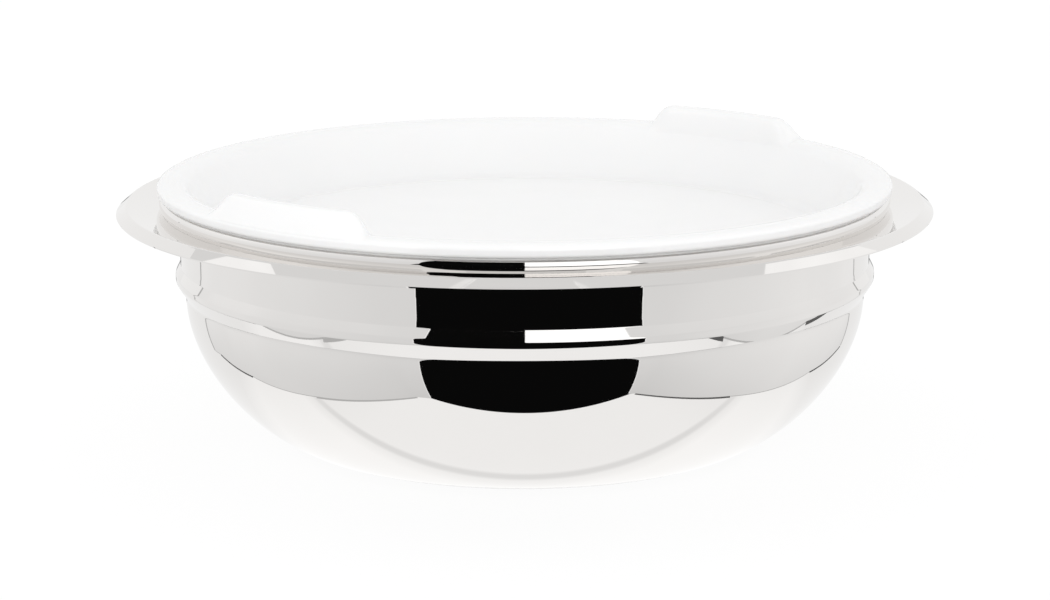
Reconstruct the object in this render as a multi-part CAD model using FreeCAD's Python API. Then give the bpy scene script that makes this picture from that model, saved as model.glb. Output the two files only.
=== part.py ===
import FreeCAD
import Part
import math
import os

# Round chafer vessel with a porcelain food pan. Millimetres, +Z up. The origin is the middle of the
# flat bottom that stands on the heater. Every piece is round about the Z axis; the front is -Y.

# ---- driving dimensions -------------------------------------------------------------------------

# bowl
bowl_sheet = 1.0            # thickness of the bowl's sheet
bowl_radius = 179.4         # outside, where the bowl meets the rim ring's tucked-in edge
bowl_depth = 80.5           # height of that meeting line above the rest face
flat_radius = 106.0         # outside flat of the bottom
bottom_fullness = 32.2      # how far the flat's direction carries on into the curved side
side_fullness = 38.4        # how far the upright direction of the side carries down into the curve

# base under the bowl's floor
base_height = 4.0           # underside of the bowl's floor above the rest face
cap_sheet = 0.8             # thickness of the magnetic cap

# rim ring, with its heights measured from the tucked-in edge
ring_sheet = 1.0            # thickness of the ring's sheet
waist_radius = 182.4        # outside of the upright waist
bead_radius = 184.6         # outside of the bead, which has a narrow upright land
bead_height = 9.5           # lower edge of that land
bead_land = 2.7             # height of the land
bead_rounding = 2.5         # of the land's two edges
bead_top_height = 17.5      # where the bead runs into the waist
bead_crease = 1.0           # rounding of the crease there
flange_radius = 215.0       # outside of the lip
flange_height = 49.74       # where the line of the flange meets that radius
gutter_slope = 9.0          # degrees by which the flange falls inwards
crease_inset = 5.3          # from the lip's outside in to the crease where the lip starts
crease_bend = 1.6           # outside radius of that crease
lip_slope = 40.0            # degrees by which the lip falls outwards from the crease
mouth_bend = 2.6            # radius between waist and flange, on the underside

# seat ring (the rolled collar)
seat_sheet = 0.8            # thickness of its sheet
seat_roll = 4.0             # outside radius of the roll
seat_radius = 192.5         # outermost radius of the roll
seat_curl = 26.0            # degrees that the roll goes on below its widest line
seat_edge = 2.4             # straight edge at the end of the roll
seat_bend = 5.0             # radius of the bend from the land into the skirt
seat_skirt = 10.0           # upright depth of the skirt inside the mouth

# silicone gasket on the seat ring
gasket_width = 3.6
gasket_height = 0.4
gasket_edge = 0.15          # rounding of its two upper edges

# food pan
pan_floor_depth = 30.8      # from the crest of the rim down to the floor
pan_floor_radius = 161.0    # where the lines of floor and wall meet
pan_floor_fillet = 7.0      # radius between floor and wall, inside
pan_wall = 4.4              # thickness of the wall
pan_bottom = 6.0            # thickness of the floor
pan_rim_height = 6.9        # from the rim's underside to its crest
pan_rim_radius = 193.4      # outermost radius of the rim
pan_nose = 3.4              # radius of the rim's outer edge
pan_crest_radius = 186.5    # radius of the rim's highest line
pan_lip_radius = 177.2      # inner edge of the rim, where it turns down into the wall
pan_lip_drop = 4.6          # that edge below the crest
foot_radius = 138.0         # middle of the ring that the pan stands on when it is off the vessel
foot_width = 5.0
foot_height = 1.5

# grips of the food pan
grip_count = 2
grip_azimuth = 40.2         # degrees from the front to the middle of the first grip, towards -X
grip_rise = 10.6            # height above the crest
grip_radius = 182.4         # middle of the grip's rounded top, which leans inwards
grip_nose = 4.4             # radius of the rounded top
grip_base_width = 106.0     # along the rim, where a grip's ends run out
grip_top_width = 84.0       # along its top
grip_face_inset = 1.7       # foot of its outer face, inwards from the rim's widest line
grip_face_foot = 5.1        # that foot above the rim's underside
grip_back_inset = 0.9       # foot of its inner face, outwards from the pan's lip edge
grip_sink = 1.7             # how far below the crest its ends run out

# clearances
loose_gap = 0.3             # between pieces that lift off each other
skirt_gap = 0.3             # round the seat ring's skirt in the bowl's mouth

# ---- sizes that follow from them ------------------------------------------------------------------

slope = math.radians(gutter_slope)
bowl_neck = waist_radius - ring_sheet           # outside of the bowl inside the waist
mouth_radius = bowl_neck - bowl_sheet
curl = math.radians(seat_curl)


def flange_top(radius):
    """Height of the flange's upper face at a radius."""
    return bowl_depth + flange_height - (flange_radius - radius) * math.tan(slope)


roll_reach = seat_roll * math.tan((math.pi / 2 + curl) / 2)
seat_shoulder_r = seat_radius - seat_roll + roll_reach
seat_foot_r = seat_shoulder_r - (roll_reach + seat_edge) * math.sin(curl)
seat_foot_z = flange_top(seat_foot_r) + loose_gap
seat_top = seat_foot_z + (roll_reach + seat_edge) * math.cos(curl)
skirt_inner = mouth_radius - skirt_gap - seat_sheet
land_inner = skirt_inner + seat_bend
pan_under = seat_top + gasket_height + loose_gap
pan_crest = pan_under + pan_rim_height
pan_floor_top = pan_crest - pan_floor_depth


# ---- helpers ---------------------------------------------------------------------------------------

def point(radius, height):
    """A point of a half section, which lies in the XZ plane."""
    return FreeCAD.Vector(radius, 0, height)


def at_angle(centre, radius, degrees):
    """The point at an angle on a circle in the half section, measured from outwards to upwards."""
    angle = math.radians(degrees)
    return centre + point(radius * math.cos(angle), radius * math.sin(angle))


def chain(*points):
    """Straight edges through a row of points."""
    return [Part.LineSegment(a, b).toShape() for a, b in zip(points, points[1:])]


def arc(centre, radius, start, end):
    """An arc about a centre, between two angles in degrees."""
    points = [at_angle(centre, radius, degrees) for degrees in (start, (start + end) / 2, end)]
    return Part.Arc(*points).toShape()


def curve(*poles):
    """A Bezier curve with these poles."""
    bezier = Part.BezierCurve()
    bezier.setPoles(list(poles))
    return bezier.toShape()


def ends(edge):
    """The first and the last point of an edge."""
    return edge.valueAt(edge.FirstParameter), edge.valueAt(edge.LastParameter)


def turned(face):
    """The solid that a half section sweeps about the Z axis."""
    return face.revolve(FreeCAD.Vector(0, 0, 0), FreeCAD.Vector(0, 0, 1), 360)


def filled(edges):
    """The turned solid of a closed outline."""
    return turned(Part.Face(Part.Wire(Part.sortEdges(edges)[0])))


def moved(corners, distance):
    """A row of (point, rounding) corners moved to its left, mitred, with its roundings kept parallel."""
    points = [corner for corner, rounding in corners]
    runs = [(b - a).normalize() for a, b in zip(points, points[1:])]
    left = [point(-run.z, run.x) for run in runs]
    result = [(points[0] + left[0] * distance, 0)]
    for index in range(1, len(corners) - 1):
        before, after = left[index - 1], left[index]
        mitre = (before + after) * (distance / (1 + before.dot(after)))
        turns_right = before.x * after.z < before.z * after.x
        rounding = corners[index][1]
        if rounding:
            rounding += distance if turns_right else -distance
        result.append((points[index] + mitre, rounding))
    return result + [(points[-1] + left[-1] * distance, 0)]


def rounded(corners):
    """Edges through a row of (point, rounding) corners: straight runs joined by tangent arcs."""
    edges = []
    start = corners[0][0]
    for (before, _), (corner, rounding), (after, _) in zip(corners, corners[1:], corners[2:]):
        if rounding <= 0:
            edges += chain(start, corner)
            start = corner
            continue
        coming, going = (corner - before).normalize(), (after - corner).normalize()
        half_turn = coming.getAngle(going) / 2
        first = corner - coming * (rounding * math.tan(half_turn))
        last = corner + going * (rounding * math.tan(half_turn))
        inward = (going - coming).normalize()
        middle = corner + inward * (rounding / math.cos(half_turn) - rounding)
        edges += chain(start, first) + [Part.Arc(first, middle, last).toShape()]
        start = last
    return edges + chain(start, corners[-1][0])


def sheet(corners, thickness):
    """The turned solid of a sheet: the corners follow one face of it and it lies to their left."""
    near, far = rounded(corners), rounded(moved(corners, thickness))
    closing = chain(ends(near[0])[0], ends(far[0])[0]) + chain(ends(near[-1])[1], ends(far[-1])[1])
    return filled(near + far + closing)


def side_parameter(edge, height):
    """Where a rising outline curve passes a height."""
    low, high = edge.FirstParameter, edge.LastParameter
    while high - low > 1e-12:
        middle = (low + high) / 2
        if edge.valueAt(middle).z < height:
            low = middle
        else:
            high = middle
    return low


def bowl_side(inset):
    """Curve of the bowl's side from the flat to the tucked-in edge, moved into the sheet by inset."""
    bottom_run = bottom_fullness * (1 - inset / (bowl_radius - flat_radius))
    side_run = side_fullness * (1 - inset / bowl_depth)
    return curve(point(flat_radius, inset),
                 point(flat_radius + bottom_run, inset),
                 point(bowl_radius - inset, bowl_depth - side_run),
                 point(bowl_radius - inset, bowl_depth))


def base_outline(inset):
    """Closed outline of the base: flat, the lower end of the bowl's side and the floor above it."""
    side = bowl_side(inset)
    low = side.Curve.toShape(side.FirstParameter, side_parameter(side, base_height))
    middle = point(0, base_height)
    return chain(middle, point(0, inset), ends(low)[0]) + [low] + chain(ends(low)[1], middle)


def save(name, shape):
    """Write a piece as its own STEP file."""
    shape.exportStep("parts/" + name + ".step")


# ---- pieces ----------------------------------------------------------------------------------------

def bowl():
    """Vessel of one sheet: flat floor, curved side, a joggle behind the bead and an upright mouth."""
    upper = [(point(bowl_radius, bowl_depth), 0),
             (point(bowl_radius, bowl_depth + bead_height), 0),
             (point(bowl_neck, bowl_depth + bead_top_height), 0),
             (point(bowl_neck, flange_top(bowl_neck) - loose_gap), 0)]
    outline = []
    for inset in (0, bowl_sheet):
        floor = base_height + inset
        side = bowl_side(inset)
        side = side.Curve.toShape(side_parameter(side, floor), side.LastParameter)
        outline += chain(point(0, floor), ends(side)[0]) + [side] + rounded(moved(upper, inset))
    rims = [moved(upper, inset)[-1][0] for inset in (0, bowl_sheet)]
    return filled(outline + chain(*rims) + chain(point(0, base_height), point(0, base_height + bowl_sheet)))


def heat_core():
    """Aluminium disc between the bowl's floor and the cap."""
    return filled(base_outline(cap_sheet))


def base_cap():
    """Magnetic cap: a shallow dish that carries the bowl's outline down to the rest face."""
    return filled(base_outline(0)).cut(heat_core())


def rim_ring():
    """Ring of one sheet: tucked-in edge, bead, upright waist, flange and a lip that falls outwards."""
    heights = [(bowl_radius, 0, 0),
               (bead_radius, bead_height, bead_rounding),
               (bead_radius, bead_height + bead_land, bead_rounding),
               (waist_radius, bead_top_height, bead_crease)]
    corners = [(point(radius, bowl_depth + height), rounding) for radius, height, rounding in heights]
    crease_radius = flange_radius - crease_inset
    lip_end = flange_top(crease_radius) - crease_inset * math.tan(math.radians(lip_slope))
    flange = [(point(waist_radius, flange_top(waist_radius)), 0),
              (point(crease_radius, flange_top(crease_radius)), crease_bend),
              (point(flange_radius, lip_end), 0)]
    under = ring_sheet / math.cos(slope)
    corners += [(point(waist_radius, flange_top(waist_radius) - under), mouth_bend)]
    corners += moved(flange, -ring_sheet)[1:]
    bowl_wall = Part.makeCylinder(bowl_radius, bowl_depth + bead_height)
    return sheet(corners, ring_sheet).cut(bowl_wall)


def seat_ring():
    """Collar of one sheet: a roll that stands on the flange, a flat land and a skirt in the mouth."""
    corners = [(point(seat_foot_r, seat_foot_z), 0),
               (point(seat_shoulder_r, seat_top), seat_roll),
               (point(skirt_inner, seat_top), seat_bend),
               (point(skirt_inner, seat_top - seat_bend - seat_skirt), 0)]
    return sheet(corners, seat_sheet)


def seat_gasket():
    """Soft flat ring on the seat ring's land, with rounded upper edges."""
    middle = (land_inner + seat_radius - seat_roll) / 2
    inner, outer = middle - gasket_width / 2, middle + gasket_width / 2
    top = seat_top + gasket_height
    corners = [(point(outer, seat_top), 0),
               (point(outer, top), gasket_edge),
               (point(inner, top), gasket_edge),
               (point(inner, seat_top), 0)]
    return filled(rounded(corners) + chain(corners[-1][0], corners[0][0]))


def pan_body():
    """Porcelain pan without its grips: floor, sloping wall, thick rounded rim and a foot ring."""
    lip = point(pan_lip_radius, pan_crest - pan_lip_drop)
    corner = point(pan_floor_radius, pan_floor_top)
    along = (lip - corner).normalize()
    outward = point(along.z, -along.x)
    lean = math.degrees(math.atan2(along.z, along.x))
    reach = math.tan(math.radians(lean / 2))

    fillet = arc(point(corner.x - pan_floor_fillet * reach, pan_floor_top + pan_floor_fillet),
                 pan_floor_fillet, -90, lean - 90)
    crest = point(pan_crest_radius, pan_crest)
    inner_turn = curve(lip, lip + along * (pan_lip_drop / 2),
                       crest - point((pan_crest_radius - pan_lip_radius) / 2, 0), crest)
    nose_centre = point(pan_rim_radius - pan_nose, pan_under + pan_nose)
    shoulder = curve(crest, crest + point(pan_nose, 0), nose_centre + point(pan_nose, pan_nose / 2),
                     nose_centre + point(pan_nose, 0))
    nose = arc(nose_centre, pan_nose, 0, -90)

    back = corner + outward * pan_wall
    wall_top = back + along * ((pan_under - back.z) / along.z)
    bottom = pan_floor_top - pan_bottom
    heel = back + along * ((bottom - back.z) / along.z)
    heel_radius = pan_floor_fillet + pan_wall
    heel_fillet = arc(point(heel.x - heel_radius * reach, bottom + heel_radius), heel_radius,
                      lean - 90, -90)
    foot_outer = foot_radius + foot_width / 2
    foot_inner = foot_radius - foot_width / 2

    outline = chain(point(0, pan_floor_top), ends(fillet)[0]) + [fillet]
    outline += chain(ends(fillet)[1], lip) + [inner_turn, shoulder, nose]
    outline += chain(ends(nose)[1], wall_top, ends(heel_fillet)[0]) + [heel_fillet]
    outline += chain(ends(heel_fillet)[1], point(foot_outer, bottom),
                     point(foot_outer, bottom - foot_height), point(foot_inner, bottom - foot_height),
                     point(foot_inner, bottom), point(0, bottom), point(0, pan_floor_top))
    return filled(outline)


def grip():
    """One grip at the front: a leaning lug on the rim, with ends that run out into the rim's crest."""
    top = pan_crest + grip_rise
    nose_centre = point(grip_radius, top - grip_nose)
    outer_foot = point(pan_rim_radius - grip_face_inset, pan_under + grip_face_foot)
    inner_foot = point(pan_lip_radius + grip_back_inset, pan_crest - pan_lip_drop)
    fall = nose_centre - outer_foot
    face_angle = math.degrees(math.atan2(fall.z, fall.x)) - 90
    nose = arc(nose_centre, grip_nose, face_angle, 180)
    section = Part.Face(Part.Wire(chain(inner_foot, outer_foot, ends(nose)[0]) + [nose]
                                  + chain(ends(nose)[1], inner_foot)))
    lug = turned(section)

    foot_z = pan_crest - grip_sink
    half_base, half_top = grip_base_width / 2, grip_top_width / 2
    middle = (half_base + half_top) / 2
    right = curve(point(half_base, foot_z), point(middle, foot_z), point(middle, top), point(half_top, top))
    left = curve(point(-half_top, top), point(-middle, top), point(-middle, foot_z),
                 point(-half_base, foot_z))
    drop = point(0, pan_rim_height)
    window = [right] + chain(ends(right)[1], ends(left)[0]) + [left]
    window += chain(ends(left)[1], ends(left)[1] - drop, ends(right)[0] - drop, ends(right)[0])
    window = Part.Face(Part.Wire(window)).extrude(FreeCAD.Vector(0, -flange_radius, 0))
    return lug.common(window)


def food_pan():
    """The pan with its grips, evenly spaced round the rim."""
    pan = pan_body()
    for index in range(grip_count):
        lug = grip()
        turn = 360 * index / grip_count - grip_azimuth
        lug.rotate(FreeCAD.Vector(0, 0, 0), FreeCAD.Vector(0, 0, 1), turn)
        pan = pan.fuse(lug)
    return pan.removeSplitter()


os.makedirs("parts", exist_ok=True)
save("bowl", bowl())
save("heat_core", heat_core())
save("base_cap", base_cap())
save("rim_ring", rim_ring())
save("seat_ring", seat_ring())
save("seat_gasket", seat_gasket())
save("food_pan", food_pan())
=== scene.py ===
import math

import bpy
import numpy as np
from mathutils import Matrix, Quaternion, Vector


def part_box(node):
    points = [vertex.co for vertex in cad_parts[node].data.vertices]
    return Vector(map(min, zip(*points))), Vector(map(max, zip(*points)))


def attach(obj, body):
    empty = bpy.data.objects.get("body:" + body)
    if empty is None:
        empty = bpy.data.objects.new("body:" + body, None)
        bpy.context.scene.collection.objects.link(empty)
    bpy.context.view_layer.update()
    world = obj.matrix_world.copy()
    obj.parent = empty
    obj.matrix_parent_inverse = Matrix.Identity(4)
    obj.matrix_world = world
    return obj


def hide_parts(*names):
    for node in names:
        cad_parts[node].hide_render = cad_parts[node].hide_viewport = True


bl_info = {
    "name": "Round chafer",
    "version": (1, 0, 0),
    "blender": (4, 5, 0),
    "location": "3D View > Sidebar > Chafer",
    "description": "Polished round chafer vessel with its seat ring and porcelain food pan",
    "category": "Add Mesh",
}

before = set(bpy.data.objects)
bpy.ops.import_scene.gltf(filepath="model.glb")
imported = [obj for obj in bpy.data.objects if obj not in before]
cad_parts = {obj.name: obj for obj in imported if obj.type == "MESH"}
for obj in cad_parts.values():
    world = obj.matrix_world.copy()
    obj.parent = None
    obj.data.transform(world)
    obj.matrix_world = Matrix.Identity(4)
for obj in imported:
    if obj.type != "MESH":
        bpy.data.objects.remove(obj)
BOX = {node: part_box(node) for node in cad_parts}
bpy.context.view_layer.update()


# ---- properties ----

def length(name, description, default):
    """Property for a length in metres."""
    return bpy.props.FloatProperty(name=name, description=description, default=default,
                                   unit="LENGTH", precision=5)


def angle(name, description, degrees):
    """Property for an angle, with its default in degrees."""
    return bpy.props.FloatProperty(name=name, description=description, subtype="ANGLE",
                                   default=math.radians(degrees))


def share(name, description, default):
    """Property for a plain number from 0 to 1."""
    return bpy.props.FloatProperty(name=name, description=description, default=default,
                                   min=0.0, max=1.0, subtype="FACTOR", precision=3)


def colour(name, description, default):
    """Property for a colour."""
    return bpy.props.FloatVectorProperty(name=name, description=description, default=default,
                                         subtype="COLOR", min=0.0, max=1.0)


class VesselSizes(bpy.types.PropertyGroup):
    sheet: length("Sheet", "Thickness of the bowl's and the rim ring's sheet", 0.001)
    flat_radius: length("Flat", "Radius of the flat bottom", 0.106)
    bottom_fullness: length("Bottom fullness", "How far the flat's direction carries on", 0.0322)
    side_fullness: length("Side fullness", "How far the upright side carries down", 0.0384)
    edge_radius: length("Edge radius", "Outside of the bowl at the ring's tucked-in edge", 0.1794)
    edge_height: length("Edge height", "Height of the tucked-in edge", BOX["rim_ring"][0].z)
    waist_radius: length("Waist", "Outside radius of the upright waist", BOX["bowl"][1].x + 0.001)
    waist_straight: length("Waist start", "Height above the edge where the waist is upright", 0.032)
    narrow_radius: length("Waist foot", "Outside radius of the waist's narrowest line", 0.1820)
    narrow_rise: length("Waist foot height", "That line above the edge", 0.0205)
    bead_radius: length("Bead", "Largest outside radius of the bead", 0.1846)
    bead_rise: length("Bead height", "Lower end of its upright land above the edge", 0.0095)
    bead_land: length("Bead land", "Height of that land", 0.0027)
    bead_rounding: length("Bead rounding", "Rounding of the land's two ends", 0.0025)
    bead_top_rise: length("Bead top height", "Crease of bead and waist above the edge", 0.0175)
    bead_crease: length("Bead crease", "Rounding of that crease", 0.001)
    tuck_rise: length("Tuck height", "Where the bead's underside bends towards the bowl", 0.0012)
    tuck_bend: length("Tuck bend", "Rounding of that bend", 0.004)
    flange_radius: length("Flange", "Outside radius of the lip", BOX["rim_ring"][1].x)
    gutter_slope: angle("Gutter slope", "Fall of the flange inwards", 9.0)
    flange_rise: length("Flange height", "Its line at the lip's outside, above the edge", 0.04974)
    crease_inset: length("Crease", "From the lip's outside in to the crease", 0.0053)
    crease_bend: length("Crease bend", "Rounding of the crease", 0.0016)
    lip_slope: angle("Lip slope", "Fall of the lip outwards", 40.0)
    mouth_bend: length("Mouth bend", "Rounding between waist and flange", 0.0026)


class SeatRingSizes(bpy.types.PropertyGroup):
    sheet: length("Sheet", "Thickness of the seat ring's sheet", 0.0008)
    roll: length("Roll", "Outside radius of the roll", 0.004)
    radius: length("Radius", "Outermost radius of the roll", BOX["seat_ring"][1].x)
    curl: angle("Curl", "How far the roll goes on below its widest line", 26.0)
    edge: length("Edge", "Straight edge at the end of the roll", 0.00273)
    skirt_radius: length("Skirt", "Inside radius of the skirt in the mouth", 0.1793)
    bend: length("Bend", "Rounding between the land and the skirt", 0.005)
    top: length("Top", "Height of the land", BOX["seat_ring"][1].z)
    bottom: length("Bottom", "Height of the skirt's lower edge", BOX["seat_ring"][0].z)
    gasket_inside: length("Gasket inside", "Inside radius of the gasket", 0.1846)
    gasket_outside: length("Gasket outside", "Outside radius of the gasket", 0.1908)


class PanSizes(bpy.types.PropertyGroup):
    floor_depth: length("Floor depth", "From the rim's crest down to the floor", 0.0308)
    floor_radius: length("Floor", "Radius where the lines of floor and wall meet", 0.161)
    floor_fillet: length("Floor fillet", "Rounding between floor and wall", 0.007)
    wall: length("Wall", "Thickness of the wall", 0.0044)
    rim_height: length("Rim height", "From the rim's crest to its underside", 0.00717)
    widest_drop: length("Widest line", "The rim's widest line below its crest", 0.0035)
    rim_corner: length("Rim corner", "Rounding of the rim's lower outer corner", 0.0018)
    nose: length("Nose", "Rounding of the rim's outer edge", 0.0034)
    crest_radius: length("Crest", "Radius of the rim's highest line", 0.1865)
    lip_radius: length("Inner edge", "Radius where the rim turns down into the wall", 0.1772)
    lip_drop: length("Inner drop", "That edge below the crest", 0.0046)
    foot_radius: length("Foot", "Middle radius of the foot ring", 0.138)
    foot_width: length("Foot width", "Width of the foot ring", 0.005)
    foot_height: length("Foot height", "Height of the foot ring", 0.0015)
    grip_azimuth: angle("Grip place", "From the front to the middle of the first grip", 39.5)
    grip_rise: length("Grip rise", "Height of the grips above the crest", 0.0106)
    grip_radius: length("Grip radius", "Middle radius of a grip's rounded top", 0.1824)
    grip_nose: length("Grip nose", "Rounding of a grip's top", 0.0044)
    grip_base: length("Grip base", "Length of a grip along the rim", 0.1006)
    grip_top: length("Grip top", "Length of a grip's level top", 0.070)


class Finishes(bpy.types.PropertyGroup):
    steel: colour("Polished steel", "Colour of the mirror-polished steel", (0.847, 0.831, 0.815))
    cap_steel: colour("Base steel", "Colour of the base's magnetic steel", (0.70, 0.69, 0.68))
    aluminium: colour("Aluminium", "Colour of the base's core", (0.78, 0.78, 0.80))
    silicone: colour("Silicone", "Colour of the gasket", (0.74, 0.74, 0.73))
    porcelain: colour("Porcelain", "Colour of the glazed food pan", (0.965, 0.965, 0.965))
    bisque: colour("Bisque", "Colour of the unglazed foot ring", (0.80, 0.78, 0.73))
    smudge: share("Smudge", "How far handling dulls the polish", 0.35)


class StageSettings(bpy.types.PropertyGroup):
    distance: length("Camera distance", "From the vessel's axis to the camera, level", 1.7314)
    height: length("Camera height", "Camera above the floor", 0.4482)
    aim: length("Aim height", "Height on the axis that the camera looks at", 0.0735)
    lens: bpy.props.FloatProperty(name="Lens", description="Focal length on a 36 mm sensor",
                                  default=114.0, unit="CAMERA")
    roll: angle("Roll", "Turn of the camera about its line of sight", -0.19)
    floor: colour("Floor", "Colour of the floor", (0.95, 0.95, 0.95))
    lift: share("Floor lift", "Share of plain white in the floor that the camera sees", 0.87)
    daylight: share("Daylight", "Strength of the soft light all round", 0.94)
    fill: bpy.props.FloatProperty(name="Front fill", description="Power of the weak lamp in front",
                                  default=8.0, unit="POWER")
    softbox: bpy.props.FloatProperty(name="Softbox", description="Brightness of the softbox",
                                     default=1.35)


# ---- shapes ----

NECK_BEND = 0.003           # where the bowl's side steps in to its neck
WAIST_BEND = 0.02           # where the waist turns upright
GASKET_EDGE = 0.0002        # rounding of the gasket's upper edges
WALL_TOP_BEND = 0.001       # between the underside of the pan's rim and its wall
FOOT_FILLET = 0.0008        # between the pan's bottom and its foot ring
FOOT_EDGE = 0.0005          # rounding of the foot ring's resting edges
GRIP_FACE_INSET = 0.0017    # foot of a grip's outer face, inwards from the rim's widest line
GRIP_FACE_DROP = 0.0018     # that foot below the crest
GRIP_FACE_GAP = 0.0006      # from that foot down to the first point of the rim's outer edge


def straight(start, end, guard=0.0002):
    """Points along a straight run, with a close one at each end so that the run is shaded flat."""
    reach = float(np.linalg.norm(end - start))
    if reach < 4 * guard:
        return np.array([start, end])
    steps = np.linspace(guard / reach, 1 - guard / reach, 2 + int(reach / 0.012))
    steps = np.concatenate([[0.0], steps, [1.0]])
    return start + (end - start) * steps[:, None]


def runs(corners):
    """Places of the corners, and the directions of the straight runs between them."""
    places = np.array([corner[:2] for corner in corners], float)
    along = np.diff(places, axis=0)
    return places, along / np.linalg.norm(along, axis=1)[:, None]


def rounded(corners, fineness=math.radians(6)):
    """Row of points through (radius, height, rounding) corners. Straight runs are joined by tangent
    arcs: an arc's centre stands square to the run before it, with a point every few degrees."""
    places, along = runs(corners)
    row, start = [], places[0]
    for place, coming, going, (_, _, rounding) in zip(places[1:], along, along[1:], corners[1:]):
        turn = math.atan2(coming[0] * going[1] - coming[1] * going[0], float(coming @ going))
        reach = rounding * math.tan(abs(turn) / 2)
        first = place - coming * reach
        row.append(straight(start, first))
        if rounding > 0:
            side = math.copysign(1.0, turn)
            square = np.array([-coming[1], coming[0]]) * side
            swings = np.linspace(0, abs(turn), 2 + int(abs(turn) / fineness))[1:-1, None]
            row.append(first + square * rounding * (1 - np.cos(swings))
                       + coming * rounding * np.sin(swings))
        start = place + going * reach
    row.append(straight(start, places[-1]))
    return apart(np.concatenate(row))


def apart(row):
    """The row without points that repeat the one before."""
    gaps = np.linalg.norm(np.diff(row, axis=0), axis=1)
    return row[np.concatenate([[True], gaps > 1e-7])]


def moved(corners, distance):
    """The corners moved square to their runs, to the left of the way they go, with mitred ends."""
    places, along = runs(corners)
    left = np.stack([-along[:, 1], along[:, 0]], axis=1)
    before, after = np.vstack([left[:1], left]), np.vstack([left, left[-1:]])
    places += (before + after) * (distance / (1 + (before * after).sum(1)))[:, None]
    turn = np.sign(before[:, 0] * after[:, 1] - before[:, 1] * after[:, 0])
    return [(*place, corner[2] - distance * side if corner[2] else 0)
            for place, corner, side in zip(places, corners, turn)]


def sheet_loop(corners, thickness, slant=0.12):
    """Closed section of a sheet whose one face follows the corners. The other lies to their left
    and stops a little sooner at the last corner, by a share of the thickness."""
    face, back = rounded(corners), rounded(moved(corners, thickness))[::-1]
    run = back[1] - back[0]
    back[0] += run * min(0.9, slant * thickness / np.linalg.norm(run))
    return np.concatenate([face, back])


def bezier(poles, count):
    """Points of the cubic curve with four poles, at even steps of its parameter."""
    t = np.linspace(0, 1, count)[:, None]
    a, b, c, d = (np.array(pole, float) for pole in poles)
    return a * (1 - t) ** 3 + b * 3 * t * (1 - t) ** 2 + c * 3 * t ** 2 * (1 - t) + d * t ** 3


def resampled(row, count):
    """The row with a new number of points, evenly spaced along its length."""
    run = np.concatenate([[0], np.cumsum(np.linalg.norm(np.diff(row, axis=0), axis=1))])
    steps = np.linspace(0, run[-1], count)
    return np.stack([np.interp(steps, run, row[:, axis]) for axis in (0, 1)], axis=1)


def surface(name, section, around, loop, material, body, node):
    """Closed surface of one piece. Point (i, j) stands at angle around[i], measured from the front
    towards +X, and at radius and height section[i, j]: x = r sin a, y = -r cos a, z = h. The last
    angle joins the first, a loop's last point joins its first, and a row on the axis is a point."""
    section = np.broadcast_to(section, (len(around),) + section.shape[-2:])
    radius, height = section[..., 0], section[..., 1]
    place = np.stack([radius * np.sin(around)[:, None], -radius * np.cos(around)[:, None],
                      height], -1)
    index = np.arange(radius.size).reshape(radius.shape)
    polar = radius.max(axis=0) < 1e-9
    index[:, polar] = index[0, polar]
    if loop:
        index, polar = np.hstack([index, index[:, :1]]), np.append(polar, polar[0])
    there = np.roll(index, -1, axis=0)
    quads = np.stack([index[:, :-1], there[:, :-1], there[:, 1:], index[:, 1:]], -1)
    whole = ~(polar[:-1] | polar[1:])
    triangles = [quads[:, polar[:-1]][..., [0, 2, 3]].reshape(-1, 3),
                 quads[:, polar[1:]][..., [0, 1, 2]].reshape(-1, 3)]
    quads = quads[:, whole].reshape(-1, 4)
    corners = place.reshape(-1, 3)[quads]
    volume = np.einsum("ij,ij->i", corners[:, 0], np.cross(corners[:, 1], corners[:, 2])).sum()
    volume += np.einsum("ij,ij->i", corners[:, 0], np.cross(corners[:, 2], corners[:, 3])).sum()
    if volume < 0:
        quads, triangles = quads[:, ::-1], [some[:, ::-1] for some in triangles]
    used, renamed = np.unique(index, return_inverse=True)
    lookup = np.zeros(radius.size, int)
    lookup[used] = np.arange(len(used))
    faces = lookup[quads].tolist() + [face for some in triangles for face in lookup[some].tolist()]
    mesh = bpy.data.meshes.new(name)
    mesh.from_pydata(place.reshape(-1, 3)[used].tolist(), [], faces)
    if mesh.validate():
        raise RuntimeError(name + " has faces that cannot stand")
    mesh.shade_smooth()
    mesh.set_sharp_from_angle(angle=math.radians(35))
    mesh.materials.append(bpy.data.materials[material])
    piece = bpy.data.objects.new(name, mesh)
    bpy.context.scene.collection.objects.link(piece)
    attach(piece, body)
    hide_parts(node)


def evenly(count):
    """Angles all the way round, evenly spaced."""
    return np.linspace(0, 2 * math.pi, count, endpoint=False)


# ---- shader helpers ----

WHITE = (1.0, 1.0, 1.0, 1.0)


def feed(tree, made, values):
    """Fills inputs of a node. values pairs a socket's name or number with what goes in: an output
    socket is linked, anything else is set."""
    for key, value in dict(values).items():
        if isinstance(value, bpy.types.NodeSocket):
            tree.links.new(value, made.inputs[key])
        else:
            made.inputs[key].default_value = value


def node(tree, kind, values=(), **settings):
    """New node with its settings as attributes and its inputs filled."""
    made = tree.nodes.new(kind)
    for key, value in settings.items():
        setattr(made, key, value)
    feed(tree, made, values)
    return made


def maths(tree, operation, *values):
    """Output of a Math node on these values."""
    return node(tree, "ShaderNodeMath", enumerate(values), operation=operation).outputs[0]


def blended(tree, factor, first, second):
    """Output of a colour mix between first, at factor 0, and second, at 1."""
    return node(tree, "ShaderNodeMix", {0: factor, 6: first, 7: second},
                data_type="RGBA").outputs[2]


def spread(tree, value, low, high, start=0.0, end=1.0):
    """Output of a Map Range node from low..high to start..end, held inside its limits."""
    return node(tree, "ShaderNodeMapRange", {0: value, 1: low, 2: high, 3: start, 4: end},
                clamp=True).outputs[0]


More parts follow.
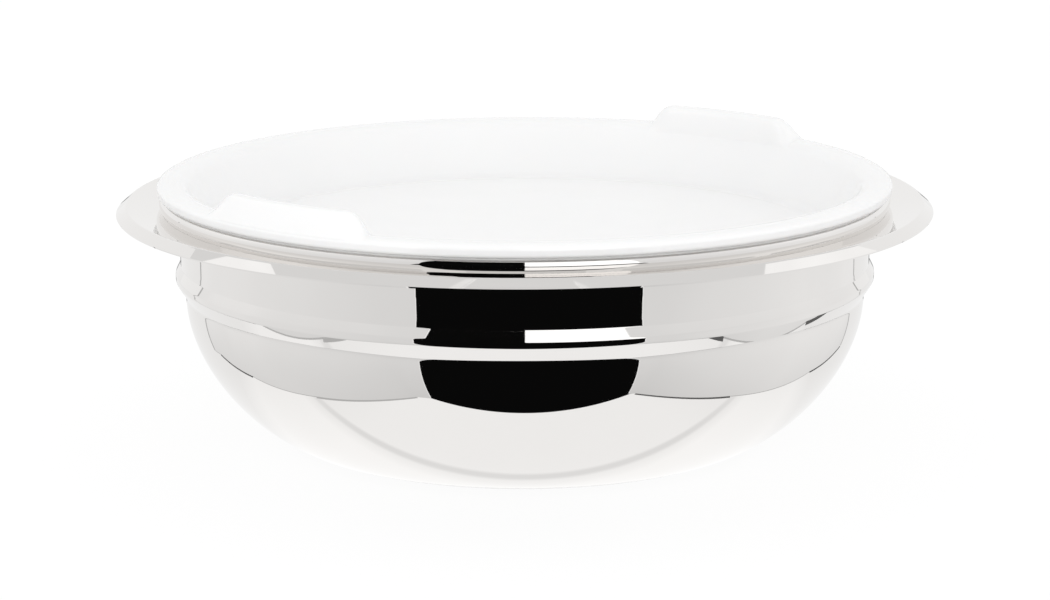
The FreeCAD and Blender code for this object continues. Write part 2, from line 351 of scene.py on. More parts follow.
def noise(tree, vector, scale, detail=2.0, roughness=0.5):
    """Grey output of a Noise Texture, around 0.5."""
    return node(tree, "ShaderNodeTexNoise", {"Vector": vector, "Scale": scale, "Detail": detail,
                                             "Roughness": roughness}).outputs[0]


def coordinates(tree, kind="Object"):
    """Texture coordinates as a vector, and their x, y and z."""
    vector = tree.nodes.new("ShaderNodeTexCoord").outputs[kind]
    return (vector, *node(tree, "ShaderNodeSeparateXYZ", {0: vector}).outputs)


def rgba(colour_value, factor=1.0):
    """A colour property as four numbers, made lighter or darker by a factor."""
    return [min(1.0, part * factor) for part in colour_value] + [1.0]


def new_group(name, inputs, outputs):
    """Empty shader node group with float inputs and outputs, its first input being the position."""
    tree = bpy.data.node_groups.new(name, "ShaderNodeTree")
    tree.interface.new_socket("Position", in_out="INPUT", socket_type="NodeSocketVector")
    for label, default in inputs:
        socket = tree.interface.new_socket(label, in_out="INPUT", socket_type="NodeSocketFloat")
        socket.default_value = default
    for label in outputs:
        tree.interface.new_socket(label, in_out="OUTPUT", socket_type="NodeSocketFloat")
    return tree, tree.nodes.new("NodeGroupInput"), tree.nodes.new("NodeGroupOutput")


def lathe_position(tree, position):
    """Cylindrical coordinates of a position about the vessel's axis: the angle as a share of a
    turn, the radius and the height."""
    x, y, z = node(tree, "ShaderNodeSeparateXYZ", {0: position}).outputs
    turn = maths(tree, "DIVIDE", maths(tree, "ARCTAN2", x, y), 2 * math.pi)
    radius = maths(tree, "SQRT", maths(tree, "ADD", maths(tree, "MULTIPLY", x, x),
                                       maths(tree, "MULTIPLY", y, y)))
    return turn, radius, z


def polish_group():
    """Group for buffed or turned metal. Fine lines run round the axis, because their pattern is far
    finer in radius and height than round the turn; soft clouds are where hands dulled it; a slow
    swell leaves the sheet not quite even."""
    name = "Lathe polish"
    if name in bpy.data.node_groups:
        return bpy.data.node_groups[name]
    tree, given, result = new_group(name, [("Lines", 900.0), ("Clouds", 14.0), ("Swell", 9.0)],
                                    ["Lines", "Clouds", "Swell"])
    position, lines, clouds, swell = given.outputs[:4]
    turn, radius, height = lathe_position(tree, position)
    across = maths(tree, "ADD", radius, maths(tree, "MULTIPLY", height, 1.37))
    wander = maths(tree, "MULTIPLY", turn, 7.0)
    finely = node(tree, "ShaderNodeCombineXYZ",
                  {0: wander, 1: maths(tree, "MULTIPLY", across, lines)})
    feed(tree, result, {"Lines": noise(tree, finely.outputs[0], 1.0, 3.0, 0.7),
                        "Clouds": noise(tree, position, clouds, 4.0, 0.6),
                        "Swell": noise(tree, position, swell, 1.0, 0.4)})
    return tree


def grain_group():
    """Group for fired or moulded surfaces: fine grain, and clouds many times larger."""
    name = "Fine grain"
    if name in bpy.data.node_groups:
        return bpy.data.node_groups[name]
    tree, given, result = new_group(name, [("Grain", 900.0), ("Clouds", 20.0)], ["Grain", "Clouds"])
    position, grain, clouds = given.outputs[:3]
    feed(tree, result, {"Grain": noise(tree, position, grain, 2.0, 0.6),
                        "Clouds": noise(tree, position, clouds, 3.0, 0.5)})
    return tree


def effect(tree, group, place, **values):
    """Outputs of a shared group at a place, with other values than its own where they are given."""
    return node(tree, "ShaderNodeGroup", {"Position": place, **values}, node_tree=group).outputs


def bump(tree, height, strength, distance):
    """Normal that follows a height."""
    return node(tree, "ShaderNodeBump", {"Strength": strength, "Distance": distance,
                                         "Height": height}).outputs[0]


def new_material(name):
    """New node material: its tree, its Principled shader and its object coordinates."""
    material = bpy.data.materials.new(name)
    material.use_nodes = True
    tree = material.node_tree
    place = tree.nodes.new("ShaderNodeTexCoord").outputs["Object"]
    return tree, tree.nodes["Principled BSDF"], place


# ---- materials ----

def polished_steel(look):
    """Mirror-polished stainless steel: faint buffing lines round the axis, a little dulled in
    clouds. Both add to the roughness of the bare polish."""
    bare_polish, haze, hair = 0.016, 0.03, 0.012
    tree, shader, place = new_material("Polished steel")
    lines, clouds, swell = effect(tree, polish_group(), place)
    dulled = maths(tree, "MULTIPLY", spread(tree, clouds, 0.45, 0.8), haze * look.smudge)
    scored = maths(tree, "MULTIPLY", spread(tree, lines, 0.35, 0.8), hair)
    height = maths(tree, "ADD", swell, maths(tree, "MULTIPLY", lines, 0.004))
    feed(tree, shader, {
        "Metallic": 1.0,
        "Base Color": blended(tree, spread(tree, clouds, 0.3, 0.75), rgba(look.steel),
                              rgba(look.steel, 0.985)),
        "Roughness": maths(tree, "ADD", maths(tree, "ADD", dulled, scored), bare_polish),
        "Normal": bump(tree, height, 0.25, 0.00006)})


def turned_steel(look):
    """Magnetic base steel, finely turned: grooves round the axis and a satin gloss."""
    tree, shader, place = new_material("Turned base steel")
    lines, clouds, _ = effect(tree, polish_group(), place, Lines=1600.0, Clouds=25.0)
    feed(tree, shader, {
        "Metallic": 1.0,
        "Base Color": blended(tree, lines, rgba(look.cap_steel, 0.92), rgba(look.cap_steel, 1.08)),
        "Roughness": spread(tree, clouds, 0.3, 0.7, 0.2, 0.3),
        "Normal": bump(tree, lines, 0.4, 0.00003)})


def rolled_aluminium(look):
    """Aluminium as rolled: soft gloss with faint streaks along x."""
    tree, shader, place = new_material("Rolled aluminium")
    drawn = node(tree, "ShaderNodeMapping", {0: place, 3: (4.0, 160.0, 160.0)}).outputs[0]
    streaks = noise(tree, drawn, 1.0, 3.0)
    feed(tree, shader, {
        "Metallic": 1.0,
        "Base Color": blended(tree, streaks, rgba(look.aluminium, 0.95),
                              rgba(look.aluminium, 1.04)),
        "Roughness": spread(tree, streaks, 0.3, 0.7, 0.32, 0.42)})


def silicone(look):
    """Matt light grey silicone with a fine moulded grain."""
    tree, shader, place = new_material("Light grey silicone")
    fine, clouds = effect(tree, grain_group(), place, Grain=2500.0, Clouds=120.0)
    feed(tree, shader, {
        "Base Color": blended(tree, clouds, rgba(look.silicone, 0.94), rgba(look.silicone, 1.06)),
        "Roughness": spread(tree, fine, 0.3, 0.7, 0.5, 0.62),
        "Normal": bump(tree, fine, 0.3, 0.00003)})


def porcelain(look):
    """White porcelain under a clear glaze, and bare fired clay on the foot ring it stands on. The
    glaze pools into a very slow swell, and holds a few specks that hardly show."""
    pan = bpy.context.scene.chafer_pan
    speck_colour, speck_strength = (0.62, 0.57, 0.50, 1.0), 0.12
    tree, shader, place = new_material("Glazed porcelain")
    fine, clouds = effect(tree, grain_group(), place, Grain=1400.0, Clouds=16.0)
    _, radius, height = lathe_position(tree, place)
    foot = BOX["food_pan"][0].z
    low = spread(tree, height, foot + 0.0002, foot + 0.0005, 1.0, 0.0)
    off_middle = maths(tree, "ABSOLUTE", maths(tree, "SUBTRACT", radius, pan.foot_radius))
    bare = maths(tree, "MULTIPLY", low, spread(tree, off_middle, 0.0022, 0.0026, 1.0, 0.0))
    specks = spread(tree, noise(tree, place, 620.0, 1.0), 0.78, 0.82)
    glazed = blended(tree, spread(tree, clouds, 0.3, 0.7), rgba(look.porcelain, 0.992),
                     rgba(look.porcelain))
    glazed = blended(tree, maths(tree, "MULTIPLY", specks, speck_strength), glazed, speck_colour)
    clay = blended(tree, fine, rgba(look.bisque, 0.94), rgba(look.bisque, 1.05))
    gloss = spread(tree, clouds, 0.3, 0.8, 0.12, 0.16)
    coarse = maths(tree, "MULTIPLY", fine, maths(tree, "MULTIPLY", bare, 0.35))
    feed(tree, shader, {
        "Base Color": blended(tree, bare, glazed, clay),
        "Roughness": maths(tree, "ADD", gloss, maths(tree, "MULTIPLY", bare, 0.75)),
        "IOR": 1.52,
        "Subsurface Weight": 0.06,
        "Subsurface Radius": (0.004, 0.0035, 0.003),
        "Subsurface Scale": 1.0,
        "Normal": bump(tree, maths(tree, "ADD", clouds, coarse), 0.35, 0.00012)})


# ---- pieces ----

def bowl_side(inset=0.0, count=400):
    """Outline of the bowl's side from the flat bottom up to the rim ring's edge: a cubic curve that
    leaves the flat level and arrives upright, moved into the sheet by inset along its normal."""
    size = bpy.context.scene.chafer_vessel
    row = bezier([(size.flat_radius, 0.0), (size.flat_radius + size.bottom_fullness, 0.0),
                  (size.edge_radius, size.edge_height - size.side_fullness),
                  (size.edge_radius, size.edge_height)], count)
    along = np.gradient(row, axis=0)
    along /= np.linalg.norm(along, axis=1)[:, None]
    return row + np.stack([-along[:, 1], along[:, 0]], axis=1) * inset


def above(row, height):
    """The part of a rising outline above a height, cut exactly there."""
    start = [np.interp(height, row[:, 1], row[:, 0]), height]
    return np.vstack([[start], row[row[:, 1] > height + 1e-6]])


class CHAFER_OT_bowl(bpy.types.Operator):
    """Make the bowl: one turned sheet with a flat floor, a curved side and an upright mouth"""
    bl_idname = "chafer.bowl"
    bl_label = "Bowl"

    def execute(self, context):
        size = context.scene.chafer_vessel
        floor, top = (corner.z for corner in BOX["bowl"])
        neck = size.narrow_radius - size.sheet
        upper = [(size.edge_radius, size.edge_height, 0.0),
                 (size.edge_radius, size.edge_height + size.bead_rise, NECK_BEND),
                 (neck, size.edge_height + size.bead_top_rise, NECK_BEND),
                 (neck, top, 0.0)]
        outside = resampled(above(bowl_side(), floor), 130)
        inside = resampled(above(bowl_side(size.sheet), floor + size.sheet), 70)
        row = apart(np.concatenate([
            straight(np.array([0.0, floor]), outside[0]), outside, rounded(upper),
            rounded(moved(upper, size.sheet))[::-1], inside[::-1],
            straight(inside[0], np.array([0.0, floor + size.sheet]))]))
        surface("bowl_shell", row, evenly(384), False, "Polished steel", "vessel", "bowl")
        return {"FINISHED"}


class CHAFER_OT_base(bpy.types.Operator):
    """Make the base: the turned magnetic cap, and the finish of the aluminium core inside it"""
    bl_idname = "chafer.base"
    bl_label = "Base"

    def execute(self, context):
        size = context.scene.chafer_vessel
        top = BOX["base_cap"][1].z
        inset = BOX["heat_core"][0].z
        outside, inside = bowl_side(count=1500), bowl_side(inset, count=1500)
        outside = resampled(outside[outside[:, 1] < top], 40)
        outside[-1] = [BOX["base_cap"][1].x, top]
        inside = resampled(inside[inside[:, 1] < top], 12)
        row = apart(np.concatenate([
            straight(np.zeros(2), np.array([size.flat_radius, 0.0])), outside,
            inside[::-1], straight(inside[0], np.array([0.0, inset]))]))
        surface("base_shell", row, evenly(384), False, "Turned base steel", "vessel", "base_cap")
        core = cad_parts["heat_core"].data.materials
        core.clear()
        core.append(bpy.data.materials["Rolled aluminium"])
        return {"FINISHED"}


class CHAFER_OT_rim_ring(bpy.types.Operator):
    """Make the rim ring: tucked-in edge, bead, upright waist, sloping flange and falling lip"""
    bl_idname = "chafer.rim_ring"
    bl_label = "Rim ring"

    def execute(self, context):
        size = context.scene.chafer_vessel
        low = BOX["rim_ring"][0].z
        fall = math.tan(size.gutter_slope)

        def flange_top(radius):
            return low + size.flange_rise - (size.flange_radius - radius) * fall

        crease = size.flange_radius - size.crease_inset
        lip_end = flange_top(crease) - size.crease_inset * math.tan(size.lip_slope)
        flange = [(size.waist_radius, flange_top(size.waist_radius), 0.0),
                  (crease, flange_top(crease), size.crease_bend),
                  (size.flange_radius, lip_end, 0.0)]
        under = size.sheet / math.cos(size.gutter_slope)
        corners = [(size.edge_radius, low, 0.0),
                   (size.edge_radius, low + size.tuck_rise, size.tuck_bend),
                   (size.bead_radius, low + size.bead_rise, size.bead_rounding),
                   (size.bead_radius, low + size.bead_rise + size.bead_land, size.bead_rounding),
                   (size.narrow_radius, low + size.bead_top_rise, size.bead_crease),
                   (size.narrow_radius, low + size.narrow_rise, WAIST_BEND),
                   (size.waist_radius, low + size.waist_straight, WAIST_BEND),
                   (size.waist_radius, flange_top(size.waist_radius) - under, size.mouth_bend)]
        corners += moved(flange, -size.sheet)[1:]
        loop = sheet_loop(corners, size.sheet)
        tucked = loop[:, 1] < low + size.bead_rise
        loop[tucked, 0] = np.maximum(loop[tucked, 0], size.edge_radius - size.sheet / 4)
        surface("rim_ring_shell", apart(loop), evenly(480), True, "Polished steel", "vessel",
                "rim_ring")
        return {"FINISHED"}


class CHAFER_OT_seat_ring(bpy.types.Operator):
    """Make the seat ring: a roll that stands on the flange, a flat land and a skirt in the mouth"""
    bl_idname = "chafer.seat_ring"
    bl_label = "Seat ring"

    def execute(self, context):
        size = context.scene.chafer_seat_ring
        reach = size.roll * math.tan((math.pi / 2 + size.curl) / 2)
        shoulder = size.radius - size.roll + reach
        run = reach + size.edge
        corners = [(shoulder - run * math.sin(size.curl), size.top - run * math.cos(size.curl), 0),
                   (shoulder, size.top, size.roll),
                   (size.skirt_radius, size.top, size.bend),
                   (size.skirt_radius, size.bottom, 0.0)]
        surface("seat_ring_shell", sheet_loop(corners, size.sheet), evenly(480), True,
                "Polished steel", "seat_ring", "seat_ring")
        return {"FINISHED"}


class CHAFER_OT_gasket(bpy.types.Operator):
    """Make the gasket: a thin silicone ring on the land, which fills the wedge over the roll"""
    bl_idname = "chafer.gasket"
    bl_label = "Gasket"

    def execute(self, context):
        size = context.scene.chafer_seat_ring
        top = BOX["seat_gasket"][1].z
        middle = np.array([size.radius - size.roll, size.top - size.roll])
        last = math.asin((size.gasket_outside - middle[0]) / size.roll)
        swings = np.linspace(0, last, 24)[:, None]
        bottom = middle + size.roll * np.hstack([np.sin(swings), np.cos(swings)])
        upper = [(*bottom[-1], 0.0), (size.gasket_outside, top, GASKET_EDGE),
                 (size.gasket_inside, top, GASKET_EDGE), (size.gasket_inside, size.top, 0.0)]
        loop = apart(np.concatenate([bottom, rounded(upper)]))
        surface("seat_gasket_ring", loop, evenly(384), True, "Light grey silicone", "seat_ring",
                "seat_gasket")
        return {"FINISHED"}


class CHAFER_OT_food_pan(bpy.types.Operator):
    """Make the porcelain food pan: floor, sloping wall, thick rounded rim and two raised grips"""
    bl_idname = "chafer.food_pan"
    bl_label = "Food pan"

    def execute(self, context):
        size = context.scene.chafer_pan
        bottom_edge, top_edge = (corner.z for corner in BOX["food_pan"])
        rim_radius = BOX["food_pan"][1].x
        crest_height = top_edge - size.grip_rise
        under = crest_height - size.rim_height
        floor = crest_height - size.floor_depth
        bottom = bottom_edge + size.foot_height

        lip = np.array([size.lip_radius, crest_height - size.lip_drop])
        crest = np.array([size.crest_radius, crest_height])
        nose = np.array([rim_radius, crest_height - size.widest_drop])
        along = lip - [size.floor_radius, floor]
        along /= np.linalg.norm(along)
        outward = np.array([along[1], -along[0]]) * size.wall
        back = np.array([size.floor_radius, floor]) + outward
        wall_top = back + along * ((under - back[1]) / along[1])
        heel = back + along * ((bottom - back[1]) / along[1])
        foot_out = size.foot_radius + size.foot_width / 2
        foot_in = size.foot_radius - size.foot_width / 2

        inside = rounded([(0.0, floor, 0.0), (size.floor_radius, floor, size.floor_fillet),
                          (*lip, 0.0)])
        rim_in = bezier([lip, lip + along * (size.lip_drop / 2),
                         crest - [(size.crest_radius - size.lip_radius) / 2, 0], crest], 40)
        rim_out = bezier([crest, crest + [size.nose, 0], nose + [0, size.nose / 2], nose], 40)
        outside = rounded([(*nose, 0.0), (rim_radius, under, size.rim_corner),
                           (*wall_top, WALL_TOP_BEND), (*heel, size.floor_fillet + size.wall),
                           (foot_out, bottom, FOOT_FILLET), (foot_out, bottom_edge, FOOT_EDGE),
                           (foot_in, bottom_edge, FOOT_EDGE), (foot_in, bottom, FOOT_FILLET),
                           (0.0, bottom, 0.0)])

        middle = np.array([size.grip_radius, top_edge - size.grip_nose])
        face_foot = np.array([rim_radius - GRIP_FACE_INSET, crest_height - GRIP_FACE_DROP])
        lean = math.atan2(*(middle - face_foot)[::-1]) - math.pi / 2

        def nose_arc(start, end):
            """Points of the grip's rounded top between two angles."""
            swings = np.linspace(start, end, 16)[:, None]
            return middle + size.grip_nose * np.hstack([np.cos(swings), np.sin(swings)])

        grip_in = np.vstack([[lip], nose_arc(math.pi, math.pi / 2)])
        grip_out = np.vstack([nose_arc(math.pi / 2, lean), [face_foot],
                              rim_out[rim_out[:, 1] < face_foot[1] - GRIP_FACE_GAP]])
        plain = np.vstack([resampled(rim_in, 26)[:-1], resampled(rim_out, 34)])
        grip = np.vstack([resampled(grip_in, 26)[:-1], resampled(grip_out, 34)])

        around = self.angles(size)
        rise = self.rise(around, size)[:, None, None]
        rim = plain * (1 - rise) + grip * rise
        wide = (len(around),)
        section = np.concatenate([np.broadcast_to(inside[:-1], wide + inside[:-1].shape), rim,
                                  np.broadcast_to(outside[1:], wide + outside[1:].shape)], axis=1)
        surface("food_pan_body", section, around, False, "Glazed porcelain", "food_pan",
                "food_pan")
        return {"FINISHED"}

    @staticmethod
    def off_grip(around, size):
        """Angle from each place to the middle of the nearest grip; the grips stand opposite."""
        return np.abs((around + size.grip_azimuth + math.pi / 2) % math.pi - math.pi / 2)

    def angles(self, size):
        """Angles round the rim, four times closer along the grips."""
        fine = np.linspace(0, 2 * math.pi, 7201)
        near = self.off_grip(fine, size) < 0.62 * size.grip_base / size.grip_radius
        run = np.concatenate([[0], np.cumsum(np.where(near, 4.0, 1.0)[:-1])])
        return np.interp(np.linspace(0, run[-1], 640, endpoint=False), run, fine)

    def rise(self, around, size):
        """How far each place is raised into a grip: 1 along its top and 0 off it. Between them it
        rises fast at the foot and rounds over into the top: 1 - (1 - s ** 1.2) ** 2.6."""
        base, top = (long / 2 / size.grip_radius for long in (size.grip_base, size.grip_top))
        step = np.clip((base - self.off_grip(around, size)) / (base - top), 0, 1)
        return 1 - (1 - step ** 1.2) ** 2.6


# ---- stage ----

def stage_sheet(name, corners, material, seen_by_camera=False):
    """Flat sheet of the stage with these corners. Unless the camera sees it, only mirrors do."""
    mesh = bpy.data.meshes.new(name)
    mesh.from_pydata(corners, [], [tuple(range(len(corners)))])
    mesh.materials.append(material)
    made = bpy.data.objects.new(name, mesh)
    bpy.context.scene.collection.objects.link(made)
    if not seen_by_camera:
        made.visible_camera = made.visible_diffuse = False
        made.visible_shadow = made.visible_volume_scatter = False


def level(half, near, far, height):
    """Corners of a level rectangle that lies across the middle."""
    return [(-half, near, height), (half, near, height), (half, far, height), (-half, far, height)]


def stage_material(name):
    """New empty node material for the stage, and its tree."""
    material = bpy.data.materials.new(name)
    material.use_nodes = True
    material.node_tree.nodes.clear()
    return material, material.node_tree


def emission(tree, strength):
    """Output of a white Emission node."""
    return node(tree, "ShaderNodeEmission", {"Color": WHITE, "Strength": strength}).outputs[0]


def either(tree, factor, first, second):
    """Output of a Mix Shader between first, at factor 0, and second, at 1."""
    return node(tree, "ShaderNodeMixShader", {0: factor, 1: first, 2: second}).outputs[0]


def glow(name, value):
    """Plain glowing material for a card or softbox."""
    material, tree = stage_material(name)
    node(tree, "ShaderNodeOutputMaterial", {"Surface": emission(tree, value)})
    return material


def floor_material(look):
    """Pale floor that keeps the shadow. Mirrors see it as the lit table top inside the light tent,
    a glow with painted shade that dims it towards the tent's walls, with a thin joint across the
    table in front of the vessel drawn as a darker painted shadow line, and a paler patch behind it."""
    seam_shadow_place, over_white = 0.134, 1.03
    material, tree = stage_material("Studio floor")
    rays = tree.nodes.new("ShaderNodeLightPath").outputs
    matt = node(tree, "ShaderNodeBsdfDiffuse", {"Color": rgba(look.floor)}).outputs[0]
    lifted = either(tree, look.lift, matt, emission(tree, over_white))
    seen = either(tree, rays["Is Camera Ray"], matt, lifted)
    _, x, y, _ = coordinates(tree)
    across = maths(tree, "ABSOLUTE", x)
    off_seam_shadow = maths(tree, "ABSOLUTE", maths(tree, "ADD", y, seam_shadow_place))
    # painted shadow line: a thin darker band across the table at the joint in front of the vessel
    seam_shadow = maths(tree, "MULTIPLY", spread(tree, off_seam_shadow, 0.0015, 0.0045, 1.0, 0.0),
                 spread(tree, across, 0.10, 0.21, 0.16, 0.04))
    patch = maths(tree, "MULTIPLY", spread(tree, y, -0.13, -0.12, 0.0, 0.08),
                  spread(tree, y, -0.06, -0.03, 1.0, 0.0))
    # painted shade: the glowing table top dims towards the tent's walls
    middle = spread(tree, across, 0.10, 0.22, 1.0, 0.91)
    tone = maths(tree, "ADD", maths(tree, "SUBTRACT", middle, seam_shadow), patch)
    both = either(tree, rays["Is Glossy Ray"], seen, emission(tree, tone))
    node(tree, "ShaderNodeOutputMaterial", {"Surface": both})
    return material


def tent_material():
    """Cloth of the light tent as mirrors see it: a glow with painted shade, dimmer near the floor and
    near the front opening, brighter higher up, and with painted shading where it is folded."""
    material, tree = stage_material("Tent cloth")
    place, _, y, z = coordinates(tree)
    # painted shade: the glow is dimmer near the floor and at the front opening, brighter higher up
    low = spread(tree, z, 0.0, 0.06, 0.80, 0.90)
    high = spread(tree, z, 0.12, 0.24, 0.0, 0.16)
    front = spread(tree, y, -0.225, -0.10, 0.86, 1.0)
    # painted shading of the cloth where it is folded
    fold_shading = spread(tree, noise(tree, place, 7.0, 2.0), 0.3, 0.7, 0.97, 1.03)
    tone = maths(tree, "MULTIPLY", maths(tree, "ADD", low, high),
                 maths(tree, "MULTIPLY", front, fold_shading))
    node(tree, "ShaderNodeOutputMaterial", {"Surface": emission(tree, tone)})
    return material


def studio_world(look):
    """Soft even light. The camera sees plain white, and mirrors see a white room."""
    world = bpy.data.worlds.new("Studio")
    world.use_nodes = True
    tree = world.node_tree
    tree.nodes.clear()
    rays = tree.nodes.new("ShaderNodeLightPath").outputs
    _, _, y, _ = coordinates(tree, "Generated")
    soft, mirrored, plain = (
        node(tree, "ShaderNodeBackground", {"Color": WHITE, "Strength": strength}).outputs[0]
        for strength in (look.daylight, spread(tree, y, -0.5, 0.8, 0.90, 0.95), 1.0))
    inner = either(tree, rays["Is Glossy Ray"], soft, mirrored)
    outer = either(tree, rays["Is Camera Ray"], inner, plain)
    node(tree, "ShaderNodeOutputWorld", {"Surface": outer})
    return world


def placed(data, place, sight, roll=0.0):
    """Lamp or camera at a place, which looks along a line and is turned about it."""
    made = bpy.data.objects.new(data.name, data)
    bpy.context.scene.collection.objects.link(made)
    made.location = place
    made.rotation_mode = "QUATERNION"
    made.rotation_quaternion = (sight.to_track_quat("-Z", "Y")
                                @ Quaternion((0.0, 0.0, 1.0), roll))
    return made


def strip(name, feet, heads, material):
    """Standing strip of the stage between a row of feet and a row of heads."""
    for index in range(len(feet) - 1):
        stage_sheet("%s_%d" % (name, index), [feet[index], feet[index + 1], heads[index + 1],
                                              heads[index]], material)


def floor_line(name, start, end, width, material):
    """Flat line on the floor between two places, as a thin sheet just above it."""
    lift = 0.0004
    start, end = Vector((*start, lift)), Vector((*end, lift))
    side = (end - start).cross(Vector((0, 0, 1))).normalized() * (width / 2)
    stage_sheet(name, [start - side, end - side, end + side, start + side], material)


LOW = 0.0003        # height of the stage's dark and grey floors, just above the pale one
TENT_HEIGHT = 0.6   # of the light tent's walls

# For each wall of the light tent: its side, the depth (y) of its front sheet, the edge of the opening
# and the places of its foot. The edge is in pairs of distance from the middle and height, and the
# places are in pairs of distance from the middle and depth.
TENT_WALLS = {
    "left": (-1, -0.216, [(0.0824, 0.0), (0.0824, 0.118), (0.070, 0.140), (0.070, TENT_HEIGHT)],
             [(0.095, -0.212), (0.160, -0.135), (0.215, -0.060), (0.258, 0.020), (0.262, 0.042)]),
    "right": (1, -0.220, [(0.094, 0.0), (0.094, 0.118), (0.080, 0.140), (0.080, TENT_HEIGHT)],
              [(0.100, -0.217), (0.157, -0.138), (0.220, -0.035), (0.260, 0.065)])}


class CHAFER_OT_stage(bpy.types.Operator):
    """Set the stage: camera, pale floor, soft light, and the light tent that the polished steel
    mirrors: its two walls, its ceiling, its open front with the dark room, and a softbox there"""
    bl_idname = "chafer.stage"
    bl_label = "Stage"

    def execute(self, context):
        look = context.scene.chafer_stage
        scene = context.scene
        scene.world = studio_world(look)
        scene.view_settings.view_transform = "Standard"
        reach, below = 6.0, -0.0002
        stage_sheet("studio_floor", level(reach, -reach, reach, below), floor_material(look),
                    seen_by_camera=True)
        self.tent(tent_material())
        self.dark_room(glow("Dark room", 0.003), glow("Softbox", look.softbox))
        self.dark_back(glow("Dark back", 0.02), glow("Grey back", 0.35))
        self.fill(look)
        self.camera(scene, look)
        return {"FINISHED"}

    @staticmethod
    def tent(cloth):
        """Two cloth walls that lean outwards, each with a front sheet up to the opening and a pale
            and grey hem along it, a shaded strip at the rear end, and painted shadow lines along the
            foot where the cloth is folded; and a dimmer ceiling, cut off behind the opening."""
        # the dark fold and the shaded fold are glowing strips of painted shadow
        pale, grey, dark = glow("Pale hem", 1.0), glow("Grey hem", 0.62), glow("Dark fold", 0.12)
        shade = glow("Shaded fold", 0.5)
        lean, end_height, end_depth, before = 0.2, 0.135, 0.005, 0.001
        hems = (("pale", 0.0, 0.006, pale), ("grey", 0.006, 0.008, grey))
        fold_shadow_widths = (0.006, 0.002, 0.006, 0.003)
        for name, (side, front, edge, places) in TENT_WALLS.items():
            feet = [(side * x, y, 0.0) for x, y in places]
            heads = [(x + side * lean, y, TENT_HEIGHT) for x, y, _ in feet]
            strip("tent_wall_" + name, feet, heads, cloth)
            stage_sheet("tent_front_" + name, [(side * x, front, z) for x, z in edge]
                        + [heads[0], feet[0]], cloth)
            for part, near, far, material in hems:
                strip("tent_hem_%s_%s" % (part, name),
                      [(side * (x + near), front - before, z) for x, z in edge],
                      [(side * (x + far), front - before, z) for x, z in edge], material)
            x, y, _ = feet[-1]
            top = x + side * lean * end_height / TENT_HEIGHT
            strip("tent_end_" + name, [(x, y, 0.0), (x, y + end_depth, 0.0)],
                  [(top, y, end_height), (top, y + end_depth, end_height)], shade)
            # painted shadow lines along the foot of each wall, darkest where the dark fold is used
            fold_shading = (dark if side > 0 else shade, shade, dark, shade)
            for index, (start, end) in enumerate(zip(places, places[1:])):
                floor_line("tent_foot_%s_%d" % (name, index), (side * start[0], start[1]),
                           (side * end[0], end[1]), fold_shadow_widths[index], fold_shading[index])
        radius, cut, ceiling = 0.75, -0.294, 0.62
        edge = [(radius * math.sin(turn), max(cut, -radius * math.cos(turn)), ceiling)
                for turn in evenly(72)[1:]]
        stage_sheet("tent_ceiling", edge, glow("Ceiling", 0.78))

    @staticmethod
    def dark_room(dark, white):
        """Dark room in front of the tent: a floor from the table's curved front edge outwards,
        three walls and a ceiling, and the softbox with rounded lower corners that hangs there."""
        far, crown, side, near, hang = 3.0, 6.0, 3.0, -0.3, -2.4
        edge = [(x, -0.207 - 0.011 * (x / 0.09) ** 2, LOW) for x in np.linspace(-0.0824, 0.094, 25)]
        stage_sheet("dark_floor", [(-side, -0.23, LOW)] + edge
                    + [(side, -0.23, LOW), (side, -far, LOW), (-side, -far, LOW)], dark)
        round_the_room = [(-side, near), (-side, -far), (side, -far), (side, near)]
        strip("dark_wall", [(*place, 0.0) for place in round_the_room],
              [(*place, crown) for place in round_the_room], dark)
        stage_sheet("dark_ceiling", level(side, near, -far, crown), dark)
        left, right, low, high, corner = 0.0, 2.05, 0.33, 5.9, 0.12
        outline = [(left + corner * (1 - math.cos(swing)), low + corner * (1 - math.sin(swing)))
                   for swing in np.linspace(0, math.pi / 2, 9)]
        outline += [(left + right - x, z) for x, z in outline[::-1]] + [(right, high), (left, high)]
        stage_sheet("softbox", [(x, hang, z) for x, z in outline], white)

    @staticmethod
    def dark_back(dark, grey):
        """Dark floor behind the table's rear edge and a grey one on both sides of it, so that the
        vessel's back has something to mirror too."""
        near, far = 0.33, 1.8
        stage_sheet("back_floor", [(-0.20, near, LOW), (0.20, near, LOW), (0.42, far, LOW),
                                   (-0.42, far, LOW)], dark)
        for side in (-1, 1):
            stage_sheet("back_floor_side", [(side * 0.21, near, LOW), (side * 0.27, near, LOW),
                                            (side * 0.55, far, LOW), (side * 0.43, far, LOW)], grey)

    @staticmethod
    def fill(look):
        """Large weak lamp in front, which no mirror sees, so that the front is as light as the
        top."""
        lamp = bpy.data.lights.new("Front fill", "AREA")
        lamp.shape = "RECTANGLE"
        lamp.size, lamp.size_y = 2.4, 1.2
        lamp.energy = look.fill
        place = Vector((0.0, -2.2, 0.7))
        made = placed(lamp, place, Vector((0.0, 0.0, 0.1)) - place)
        made.visible_glossy = made.visible_camera = False

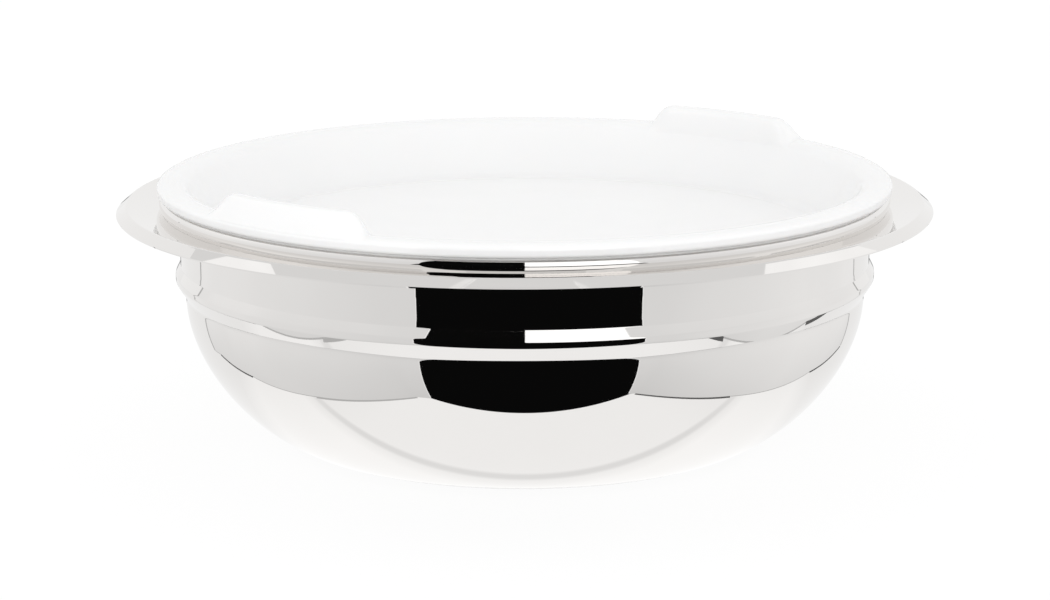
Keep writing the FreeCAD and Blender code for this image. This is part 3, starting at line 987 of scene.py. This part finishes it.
    @staticmethod
    def camera(scene, look):
        """Camera on the front line, looking slightly down at the vessel's axis."""
        data = bpy.data.cameras.new("Camera")
        data.lens = look.lens
        data.sensor_width = 36.0
        data.clip_end = 50.0
        scene.camera = placed(data, Vector((0.0, -look.distance, look.height)),
                              Vector((0.0, look.distance, look.aim - look.height)), look.roll)


class CHAFER_OT_finishes(bpy.types.Operator):
    """Make the materials of steel, aluminium, silicone and porcelain"""
    bl_idname = "chafer.finishes"
    bl_label = "Finishes"

    def execute(self, context):
        for make in (polished_steel, turned_steel, rolled_aluminium, silicone, porcelain):
            make(context.scene.chafer_finishes)
        return {"FINISHED"}


# ---- panel and registration ----

STEPS = (CHAFER_OT_finishes, CHAFER_OT_bowl, CHAFER_OT_base, CHAFER_OT_rim_ring,
         CHAFER_OT_seat_ring, CHAFER_OT_gasket, CHAFER_OT_food_pan, CHAFER_OT_stage)
SETTINGS = {"chafer_vessel": VesselSizes, "chafer_seat_ring": SeatRingSizes, "chafer_pan": PanSizes,
            "chafer_finishes": Finishes, "chafer_stage": StageSettings}


class CHAFER_PT_panel(bpy.types.Panel):
    """Sizes and finishes of the chafer, and a button for each of its pieces"""
    bl_idname = "CHAFER_PT_panel"
    bl_label = "Round chafer"
    bl_space_type = "VIEW_3D"
    bl_region_type = "UI"
    bl_category = "Chafer"

    def draw(self, context):
        for step in STEPS:
            self.layout.operator(step.bl_idname)
        for key, group in SETTINGS.items():
            box = self.layout.box()
            for prop in group.__annotations__:
                box.prop(getattr(context.scene, key), prop)


def register():
    for group in SETTINGS.values():
        bpy.utils.register_class(group)
    for step in STEPS + (CHAFER_PT_panel,):
        bpy.utils.register_class(step)
    for key, group in SETTINGS.items():
        setattr(bpy.types.Scene, key, bpy.props.PointerProperty(type=group))


def unregister():
    for key in SETTINGS:
        delattr(bpy.types.Scene, key)
    for step in (CHAFER_PT_panel,) + STEPS[::-1]:
        bpy.utils.unregister_class(step)
    for group in SETTINGS.values():
        bpy.utils.unregister_class(group)


def main():
    register()
    for step in STEPS:
        getattr(bpy.ops.chafer, step.bl_idname.split(".")[1])()


if __name__ == "__main__":
    main()
